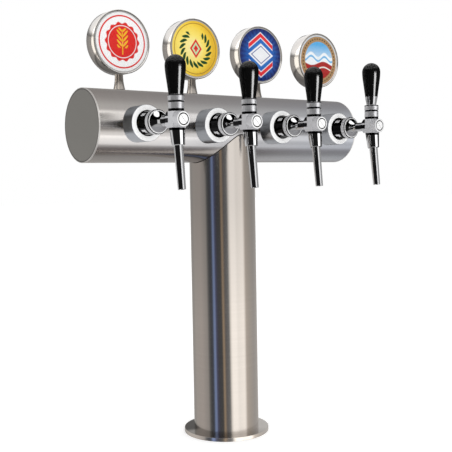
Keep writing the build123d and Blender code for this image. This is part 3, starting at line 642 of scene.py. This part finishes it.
def rooms():
    """One room for each group of pieces."""
    crossbar = ("crossbar_tube", "left_end_cap", "right_end_cap")
    taps = ("lever_bonnets", *numbered("coupling_nut", "tap_body", "adjuster_screw", "lever"))
    badges = ("badge_stems", *numbered("badge_housing", "badge_lens"))
    pale_rosettes = ("rosette_2", "rosette_3", "rosette_4")
    spouts = ("grip_ferrule_4", *numbered("nozzle"))
    room(0, "column_room", ("column_tube", "base_flange"), around=COLUMN_AROUND)
    room(1, "crossbar_room", crossbar, over=CROSSBAR_OVER)
    room(2, "tap_room", taps, around=TAP_AROUND, levels=TAP_LEVELS, sky=TAP_SKY)
    room(3, "badge_room", badges, around=BADGE_AROUND, levels=BADGE_LEVELS, sky=BADGE_SKY)
    room(4, "grip_room", numbered("grip"), around=GRIP_AROUND, sky=GRIP_SKY)
    room(5, "rosette_room", ("rosette_1",), sky=ROSETTE_SKY)
    room(6, "pale_rosette_room", pale_rosettes, sky=PALE_ROSETTE_SKY)
    room(7, "spout_room", spouts, around=SPOUT_AROUND)


def toward(azimuth, elevation):
    """Place of a panel before the tower's middle, by turn and height angle in degrees."""
    a, e = radians(azimuth), radians(elevation)
    return TOWER_MIDDLE + PANEL_DISTANCE * Vector((sin(a) * cos(e), -cos(a) * cos(e), sin(e)))


def panel(name, place, target, size, radiance, receivers):
    """Light panel that faces a target and lights only the named CAD nodes."""
    data = bpy.data.lights.new(name, "AREA")
    data.shape = "RECTANGLE"
    data.size, data.size_y = size
    data.energy = PANEL_POWER * radiance * size[0] * size[1]
    light = new_object(name, data)
    light.location = place
    light.rotation_euler = (target - place).to_track_quat("-Z", "Y").to_euler()
    light.visible_camera = False
    link_to(light, receivers)


def panels():
    """Highlights on the grips, light on the rosettes, and light from below on the crossbar."""
    panel(
        "grip_strip",
        toward(azimuth=11.5, elevation=-6),
        TOWER_MIDDLE,
        size=(0.9, 1.0),
        radiance=12.0,
        receivers=numbered("grip"),
    )
    panel(
        "rosette_fill",
        toward(azimuth=-8, elevation=12),
        TOWER_MIDDLE,
        size=(1.5, 1.5),
        radiance=1.9,
        receivers=numbered("rosette"),
    )
    panel(
        "underside_fill",
        UNDERSIDE_PANEL,
        UNDERSIDE_PANEL + UP,
        size=(0.46, 0.7),
        radiance=0.14,
        receivers=("crossbar_tube",),
    )
    panel(
        "left_bounce",
        BOUNCE_PANEL,
        Vector((BOUNCE_PANEL.x, 0, AXIS_HEIGHT)),
        size=(0.36, 0.26),
        radiance=0.5,
        receivers=("crossbar_tube",),
    )


# ---------------------------------------------------------------- finishes
def surface(name, colour, roughness, metallic=1.0):
    """Principled material. Gives the material, its tree, its shader and object coordinates."""
    material, tree = new_material(name)
    shader = tree.nodes["Principled BSDF"]
    look = {"Base Color": colour, "Roughness": roughness, "Metallic": metallic}
    set_inputs(tree, shader, look)
    place = add(tree, "ShaderNodeTexCoord").outputs["Object"]
    return material, tree, shader, place


def brushed_steel(name, colour, roughness, grain, along, painted_shading=None):
    """Steel with a fine grain, whose highlights run along one axis, and a painted shading along an
    axis where one is given.
    """
    material, tree, shader, place = surface(name, colour, roughness)
    shader.inputs["Anisotropic"].default_value = BRUSH_ANISOTROPY
    coarse_grain = [value / COARSENESS for value in grain]
    fine = noise(tree, place, scale=1.0, detail=2.0, stretch=grain)
    coarse = noise(tree, place, scale=1.0, detail=2.0, stretch=coarse_grain)
    streaks = plus(tree, times(tree, fine, 0.5), times(tree, coarse, 0.5))
    shade = mix(tree, streaks, scaled(colour, 0.90), scaled(colour, 1.08))
    # Painted shading along an axis: painted shade on the column, a painted cooler reflection on
    # the crossbar.
    if painted_shading:
        axis, start, end, tint = painted_shading
        shade = mix(tree, remap(tree, parts_of(tree, place)[axis], start, end), shade, tint)
    cloud = noise(tree, place, scale=9.0)
    rough = plus(tree, uneven(tree, streaks, 0.0, BRUSH_UNEVENNESS), roughness)
    rough = plus(tree, rough, uneven(tree, cloud, 0.0, BRUSH_UNEVENNESS))
    look = {
        "Base Color": shade,
        "Roughness": rough,
        "Normal": bump(tree, fine, strength=0.04),
        "Tangent": vector(tree, *along),
    }
    set_inputs(tree, shader, look)
    return material


def polished(name, colour, roughness):
    """Polished metal with faint smudges."""
    material, tree, shader, place = surface(name, colour, roughness)
    cloud = noise(tree, place, scale=60.0, detail=4.0)
    set_inputs(tree, shader, {"Roughness": smudged(tree, cloud, roughness, 0.04)})
    return material


def satin(name, colour, roughness, shine, mottle):
    """Dull plated metal: shine is its share of reflection, the rest is even grey."""
    material, tree, shader, place = surface(name, colour, roughness, metallic=shine)
    cloud = noise(tree, place, scale=350.0)
    spots = remap(tree, cloud, *MIDDLE_RANGE)
    shade = mix(tree, spots, scaled(colour, 1 - mottle), scaled(colour, 1 + mottle))
    look = {"Base Color": shade, "Roughness": uneven(tree, cloud, roughness)}
    set_inputs(tree, shader, look)
    return material


def moulded(name, colour, roughness, grain=900.0):
    """Plastic, rubber or lacquer with a slight unevenness."""
    material, tree, shader, place = surface(name, colour, roughness, metallic=0.0)
    cloud = noise(tree, place, scale=grain, detail=2.0)
    rough = uneven(tree, cloud, roughness, 0.15 * roughness)
    set_inputs(tree, shader, {"Roughness": rough, "Normal": bump(tree, cloud, strength=0.05)})
    return material


def zone_mask(tree, place, zones):
    """One inside the zones of a layer."""
    parts = parts_of(tree, place)
    ahead = ahead_of_column(tree, parts)
    _, height, radius = from_tap_axis(tree, parts)
    mask = 0.0
    for kind, near, far, low, high in zones:
        value = radius if kind == "radius" else height
        depth = both_sides(tree, ahead, near * MM, far * MM, ZONE_EDGE)
        zone = times(tree, depth, both_sides(tree, value, low * MM, high * MM, ZONE_EDGE))
        mask = calculate(tree, "MAXIMUM", mask, zone)
    return mask


def layered_chrome(name, chrome, roughness, layers):
    """Chrome with zones of other finish and of painted light and shade: rough where dull, and less
    so where fully metal.
    """
    material, tree, shader, place = surface(name, chrome, roughness)
    cloud = noise(tree, place, scale=250.0)
    colour, metallic, rough = chrome, 1.0, roughness
    for tint, shine, zones in layers:
        mask = zone_mask(tree, place, zones)
        colour = mix(tree, mask, colour, mix(tree, cloud, scaled(tint, 0.88), tint))
        metallic = between(tree, mask, metallic, shine)
        rough = between(tree, mask, rough, DULL_ROUGHNESS if shine < 1 else DARK_ROUGHNESS)
    set_inputs(tree, shader, {"Base Color": colour, "Metallic": metallic, "Roughness": rough})
    return material


def rimmed(name, colour, roughness):
    """Dull cap with a dark line round it, and a painted highlight on its edge, brighter in front.
    """
    material, tree, shader, place = surface(name, colour, roughness, metallic=0.8)
    parts = parts_of(tree, place)
    radius = length(tree, parts["Y"], minus(tree, parts["Z"], AXIS_HEIGHT))
    cloud = noise(tree, place, scale=40.0, detail=4.0)
    shade = mix(tree, cloud, scaled(colour, 0.95), scaled(colour, 1.05))
    line = both_sides(tree, radius, CAP_LINE_RADIUS, CAP_EDGE_RADIUS, CAP_LINE_SOFTNESS)
    # Painted highlight on the cap's edge, stronger in front.
    edge = remap(tree, radius, CAP_EDGE_RADIUS, CAP_EDGE_RADIUS + CAP_HIGHLIGHT_WIDTH)
    front = remap(tree, parts["Y"], -CAP_HIGHLIGHT_FRONT, CAP_HIGHLIGHT_BACK, 1.0, 0.2)
    edge = times(tree, edge, front)
    shade = lay(tree, shade, (line, (0.12, 0.12, 0.115)), (edge, (0.80, 0.78, 0.76)))
    look = {"Base Color": shade, "Roughness": uneven(tree, cloud, roughness)}
    set_inputs(tree, shader, look)
    return material


def turned_plate(name, roughness):
    """Foot plate turned on a lathe: fine rings, a painted reflection that goes round, and a pale
    rim.
    """
    material, tree, shader, place = surface(name, (0.5, 0.5, 0.5), roughness)
    parts = parts_of(tree, place)
    radius = length(tree, parts["X"], parts["Y"])
    rings = noise(tree, vector(tree, radius), scale=1500.0, detail=2.0)
    cloud = noise(tree, place, scale=60.0)
    front = ahead_of_column(tree, parts)
    # Painted reflection that goes round the column.
    shade = turned_glow(tree, front, parts["X"], FOOT_PAINTED_REFLECTION, HALF_TURN)
    grooves = spread(tree, rings, 0.0, 0.15)
    rim = remap(tree, radius, FOOT_RIM - FOOT_RIM_WIDTH, FOOT_RIM)
    look = {
        "Base Color": lay(tree, shade, (grooves, (0.3, 0.29, 0.28)), (rim, (0.85, 0.83, 0.80))),
        "Roughness": spread(tree, cloud, roughness - 0.03, roughness + 0.04),
        "Normal": bump(tree, rings, strength=0.03),
    }
    set_inputs(tree, shader, look)
    return material


def black_with_painted_highlights(name, black, bright, roughness):
    """Dark ring nut with painted highlights round it, on every tap."""
    material, tree, shader, place = surface(name, black, roughness)
    parts = parts_of(tree, place)
    side, height, _ = from_tap_axis(tree, parts)
    turn = calculate(tree, "ARCTAN2", height, side)
    places = wave(tree, turn, NUT_HIGHLIGHT_COUNT, 1.0, -NUT_HIGHLIGHT_COUNT * NUT_HIGHLIGHT_TURN)
    ahead = ahead_of_column(tree, parts)
    middle = both_sides(tree, ahead, NUT_HIGHLIGHT_BACK, NUT_HIGHLIGHT_FRONT, NUT_HIGHLIGHT_SOFTNESS)
    # Mask of the painted highlights.
    mask = times(tree, remap(tree, places, *NUT_HIGHLIGHT_RANGE), middle)
    cloud = noise(tree, place, scale=200.0)
    look = {
        "Base Color": mix(tree, mask, black, bright),
        "Metallic": between(tree, mask, 1.0, 0.3),
        "Roughness": smudged(tree, cloud, roughness),
    }
    set_inputs(tree, shader, look)
    return material


def rounded_drum(name, colour, roughness):
    """Polished drum with a dull back, whose side reflects as if it were barrel-shaped."""
    material, tree, shader, place = surface(name, colour, roughness)
    depth = parts_of(tree, place)["Y"]
    barrel = times(tree, times(tree, depth, depth), -DRUM_CURVE)
    back = remap(tree, depth, DRUM_DULL_START, DRUM_DULL_FULL)
    cloud = noise(tree, place, scale=80.0, detail=4.0)
    look = {
        "Base Color": mix(tree, back, colour, (0.34, 0.33, 0.32)),
        "Metallic": between(tree, back, 1.0, 0.25),
        "Roughness": smudged(tree, cloud, roughness),
        "Normal": bump(tree, barrel, strength=1.0, distance=1.0),
    }
    set_inputs(tree, shader, look)
    return material


# ---------------------------------------------------------------- prints on the badge lenses
# Lengths are shares of the lens's radius: across to the right, up, and out from the middle.
# Turn is in radians from the top.
def printed(name, centre, design):
    """Glossy print inside a grey bezel. The design gives its colour."""
    material, tree, shader, place = surface(name, WHITE, PRINT_ROUGHNESS, metallic=0.0)
    shader.inputs["Specular IOR Level"].default_value = 0.3
    shader.inputs["Coat Weight"].default_value = 0.6
    shader.inputs["Coat Roughness"].default_value = 0.06
    parts = parts_of(tree, place)
    across = ratio(tree, minus(tree, parts["X"], centre), LENS_RADIUS)
    up = ratio(tree, minus(tree, parts["Z"], BADGE_HEIGHT), LENS_RADIUS)
    out = length(tree, across, up)
    turn = calculate(tree, "ARCTAN2", across, up)
    colour = design(tree, across, up, out, turn)
    bezel = remap(tree, out, BEZEL_START, BEZEL_FULL)
    cloud = noise(tree, place, scale=300.0, detail=2.0)
    look = {
        "Base Color": lay(tree, colour, (bezel, (0.40, 0.39, 0.38))),
        "Roughness": uneven(tree, cloud, PRINT_ROUGHNESS, 0.05),
    }
    set_inputs(tree, shader, look)
    return material


def seal_print(tree, across, up, out, turn):
    """White ground, red ring and a red seal with an ear of barley."""
    ground = ramp(tree, out, [(0.0, 0.98), (0.85, 0.95), (1.0, 0.82)])
    ring = both_sides(tree, out, 0.82, 0.87, 0.01)
    seal = inside(tree, plus(tree, out, wave(tree, turn, 14, 0.03)), 0.62)
    line = both_sides(tree, out, 0.51, 0.535, 0.008)
    side = size_of(tree, across)
    rows = calculate(tree, "PINGPONG", minus(tree, up, side), 0.08)
    grain = squares(tree, ratio(tree, minus(tree, side, 0.11), 0.10), ratio(tree, rows, 0.05))
    ear = times(tree, inside(tree, grain, 1.0, 0.2), both_sides(tree, up, -0.2, 0.44, 0.02))
    stalk = times(tree, inside(tree, side, 0.018), both_sides(tree, up, -0.42, 0.4, 0.01))
    barley = calculate(tree, "MAXIMUM", ear, stalk)
    return lay(tree, ground, (ring, RED), (seal, RED), (line, (0.9, 0.9, 0.9)), (barley, GOLD))


def wreath_print(tree, across, up, out, turn):
    """Golden ground, ochre ring and a green wreath round a small red and pale diamond."""
    stops = (
        (0.0, (1.0, 0.93, 0.50)),
        (0.45, (1.0, 0.80, 0.16)),
        (0.8, (0.95, 0.66, 0.05)),
        (1.0, (0.82, 0.50, 0.02)),
    )
    ground = ramp(tree, plus(tree, out, times(tree, across, 0.35)), stops)
    ring = both_sides(tree, out, 0.86, 0.89, 0.008)
    slanted_rows = calculate(tree, "PINGPONG", plus(tree, turn, times(tree, out, 1.4)), 0.165)
    rib = ratio(tree, minus(tree, out, 0.56), 0.13)
    width = minus(tree, 0.13, times(tree, times(tree, rib, rib), 0.13))
    leaves = inside(tree, minus(tree, slanted_rows, width), 0.0, 0.012)
    leaves = times(tree, leaves, both_sides(tree, out, 0.43, 0.69, 0.01))
    open_top = remap(tree, size_of(tree, turn), 0.45, 0.5)
    wreath = times(tree, leaves, open_top)
    from_middle = plus(tree, size_of(tree, across), size_of(tree, times(tree, up, 0.75)))
    diamond = inside(tree, from_middle, 0.25)
    pale_line = both_sides(tree, from_middle, 0.10, 0.17, 0.01)
    return lay(
        tree,
        ground,
        (ring, (0.45, 0.24, 0.02)),
        (wreath, GREEN),
        (diamond, RED),
        (pale_line, (0.55, 0.80, 0.45)),
    )


def lozenge_print(tree, across, up, out, turn):
    """Blue rays, and a white lozenge between red chevrons with pale edges."""
    stops = (
        (0.0, (0.05, 0.36, 0.80)),
        (0.5, (0.01, 0.13, 0.52)),
        (0.85, (0.004, 0.03, 0.20)),
        (1.0, (0.003, 0.01, 0.09)),
    )
    ground = ramp(tree, plus(tree, out, wave(tree, turn, 30, 0.05)), stops)
    side = size_of(tree, across)
    height = size_of(tree, up)
    slope = plus(tree, height, times(tree, side, 0.75))
    limit = inside(tree, side, 0.56)
    pale_edges = times(tree, both_sides(tree, slope, 0.60, 0.84, 0.01), limit)
    chevrons = times(tree, both_sides(tree, slope, 0.64, 0.80, 0.01), limit)
    from_middle = plus(tree, times(tree, side, 0.72), height)
    lozenge = inside(tree, from_middle, 0.42)
    blue_line = both_sides(tree, from_middle, 0.30, 0.335, 0.008)
    return lay(
        tree,
        ground,
        (pale_edges, (0.85, 0.87, 0.92)),
        (chevrons, (0.80, 0.02, 0.03)),
        (lozenge, (0.90, 0.91, 0.94)),
        (blue_line, (0.01, 0.05, 0.30)),
    )


def waves_print(tree, across, up, out, turn):
    """White rim, tan ring with beads, blue waves under a sky, and a red bowl below."""
    blues = [(0.0, (0.85, 0.92, 0.96)), (1.0, (0.10, 0.42, 0.78))]
    sky = ramp(tree, remap(tree, up, -0.3, 0.6), blues)
    crest = plus(tree, up, wave(tree, across, 9, 0.09, 0.6))
    bowl = plus(tree, up, wave(tree, across, 5, 0.08, 2.0))
    beads = inside(tree, wave(tree, turn, 40, 1.0), 0.0, 0.2)
    return lay(
        tree,
        sky,
        (inside(tree, crest, 0.22), (0.90, 0.94, 0.97)),
        (both_sides(tree, crest, 0.02, 0.10, 0.012), (0.18, 0.48, 0.80)),
        (inside(tree, bowl, -0.12), (0.42, 0.012, 0.010)),
        (both_sides(tree, bowl, -0.36, -0.31, 0.01), (0.85, 0.84, 0.80)),
        (both_sides(tree, out, 0.72, 0.92, 0.01), (0.42, 0.25, 0.11)),
        (times(tree, both_sides(tree, out, 0.79, 0.85, 0.01), beads), (0.12, 0.07, 0.03)),
        (remap(tree, out, 0.92, 0.94), (0.80, 0.79, 0.76)),
    )


# ---------------------------------------------------------------- looks of the pieces
def tower_looks():
    """Brushed tubes, turned foot and dull end caps."""
    # Painted shade on the column's top, towards the crossbar.
    column = brushed_steel(
        "column_steel",
        (0.62, 0.60, 0.575),
        roughness=0.16,
        grain=COLUMN_GRAIN,
        along=(0, 0, 1),
        painted_shading=COLUMN_PAINTED_SHADE,
    )
    # Painted reflection on the crossbar: cooler and darker towards its right end.
    crossbar = brushed_steel(
        "crossbar_steel",
        (0.63, 0.605, 0.585),
        roughness=0.22,
        grain=CROSSBAR_GRAIN,
        along=(1, 0, 0),
        painted_shading=CROSSBAR_PAINTED_REFLECTION,
    )
    give(column, "column_tube")
    give(crossbar, "crossbar_tube")
    give(turned_plate("foot_steel", roughness=0.14), "base_flange")
    caps = rimmed("cap_steel", (0.35, 0.345, 0.33), roughness=0.35)
    give(caps, "left_end_cap", "right_end_cap")


def tap_looks():
    """Rosettes, nuts, bodies, spouts, levers, screws and grips."""
    rosette_grey, chrome, lever_grey = (0.62, 0.64, 0.68), (0.85, 0.85, 0.86), (0.80, 0.80, 0.82)
    # Black of the nuts, and the colour of their painted highlights.
    black, nut_highlight_colour = (0.006, 0.006, 0.007), (0.75, 0.75, 0.77)
    # Layers of dull finish, painted highlights and painted shade on the tap bodies.
    body_layers = (TAP_DULL_AND_PAINTED_BANDS, TAP_PAINTED_UNDERSIDE_SHADE, TAP_PAINTED_HIGHLIGHTS, TAP_PAINTED_SHADE)
    rosettes = layered_chrome("rosette_steel", rosette_grey, 0.3, ROSETTE_LAYERS)
    nuts = black_with_painted_highlights("nut_chrome", black, nut_highlight_colour, roughness=0.12)
    bodies = layered_chrome("tap_chrome", chrome, 0.07, body_layers)
    spouts = polished("spout_chrome", chrome, roughness=0.06)
    levers = layered_chrome("lever_chrome", lever_grey, 0.2, LEVER_LAYERS)
    screws = satin("screw_chrome", (0.94, 0.94, 0.94), roughness=0.25, shine=0.3, mottle=0.03)
    lacquer = moulded("black_lacquer", (0.002, 0.002, 0.002), roughness=0.14, grain=120.0)
    give(rosettes, *numbered("rosette"))
    give(nuts, *numbered("coupling_nut"))
    give(bodies, *numbered("tap_body"))
    give(spouts, "grip_ferrule_4", *numbered("nozzle"))
    give(levers, "lever_bonnets", *numbered("lever"))
    give(screws, *numbered("adjuster_screw"))
    give(lacquer, *numbered("grip"))


def badge_looks():
    """Drums, stems and printed lenses of the badge lamps."""
    drums = rounded_drum("drum_chrome", (0.70, 0.68, 0.66), roughness=0.1)
    stems = polished("stem_chrome", (0.40, 0.37, 0.34), roughness=0.15)
    give(drums, *numbered("badge_housing"))
    give(stems, "badge_stems")
    designs = (seal_print, wreath_print, lozenge_print, waves_print)
    for number, design in zip(TAPS, designs):
        centre = BADGE_OFFSET + BADGE_PITCH * (number - (len(TAPS) + 1) / 2)
        give(printed(f"print_{number}", centre, design), f"badge_lens_{number}")


def hidden_looks():
    """Pieces inside the tower and the taps."""
    inner = brushed_steel(
        "inner_steel",
        (0.55, 0.55, 0.55),
        roughness=0.3,
        grain=DRAWN_GRAIN,
        along=(0, 0, 1),
    )
    rubber = moulded("rubber", (0.03, 0.03, 0.03), roughness=0.7)
    plastic = moulded("spacer_plastic", (0.82, 0.82, 0.80), roughness=0.5)
    brass = polished("valve_brass", (0.72, 0.58, 0.32), roughness=0.2)
    give(inner, "anchor_ring", "cooling_loop", "shank_fasteners", "badge_nuts")
    give(inner, *numbered("drink_line"))
    give(rubber, "tail_seals")
    give(plastic, "line_spacers")
    give(brass, "tap_shanks", *numbered("valve_piston"))


def clear_reflections():
    """Leaves out of the reflections the pieces whose mirror images the photo doesn't show."""
    repeated = numbered("badge_housing", "badge_lens", "nozzle", "rosette")
    for name in ("badge_stems", "crossbar_tube", *repeated):
        NODES[name].visible_glossy = False


def weld_seam():
    """Dark bead where the crossbar sits in the column's saddle: a weld bead, whose dark colour
    also stands as painted shade in the crease.
    """
    corners = []
    for step in range(SEAM_STEPS):
        turn = 2 * pi * step / SEAM_STEPS
        outward = Vector((cos(turn), sin(turn), 0))
        x, y = COLUMN_RADIUS * cos(turn), COLUMN_RADIUS * sin(turn)
        centre = Vector((x, y, AXIS_HEIGHT - sqrt(CROSSBAR_RADIUS**2 - y**2)))
        for index in range(BEAD_STEPS):
            angle = 2 * pi * index / BEAD_STEPS
            spoke = cos(angle) * outward + sin(angle) * UP
            corners.append(centre + BEAD_RADIUS * spoke)
    faces = []
    for step in range(SEAM_STEPS):
        ahead = (step + 1) % SEAM_STEPS
        for index in range(BEAD_STEPS):
            side = (index + 1) % BEAD_STEPS
            loop = (step, index), (ahead, index), (ahead, side), (step, side)
            faces.append([ring * BEAD_STEPS + corner for ring, corner in loop])
    mesh = bpy.data.meshes.new("weld_seam")
    mesh.from_pydata(corners, [], faces)
    mesh.shade_smooth()
    # Dark colour of the weld, also painted shade in the crease.
    brown = (0.045, 0.035, 0.032)
    mesh.materials.append(satin("weld_metal_and_crease_shade", brown, roughness=0.5, shine=0.6, mottle=0.2))
    bead = new_object("weld_seam", mesh)
    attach(bead, "root")


white_world()
floor()
camera()
tower_looks()
tap_looks()
badge_looks()
hidden_looks()
clear_reflections()
weld_seam()
rooms()
panels()

bpy.context.scene.view_settings.view_transform = "Standard"
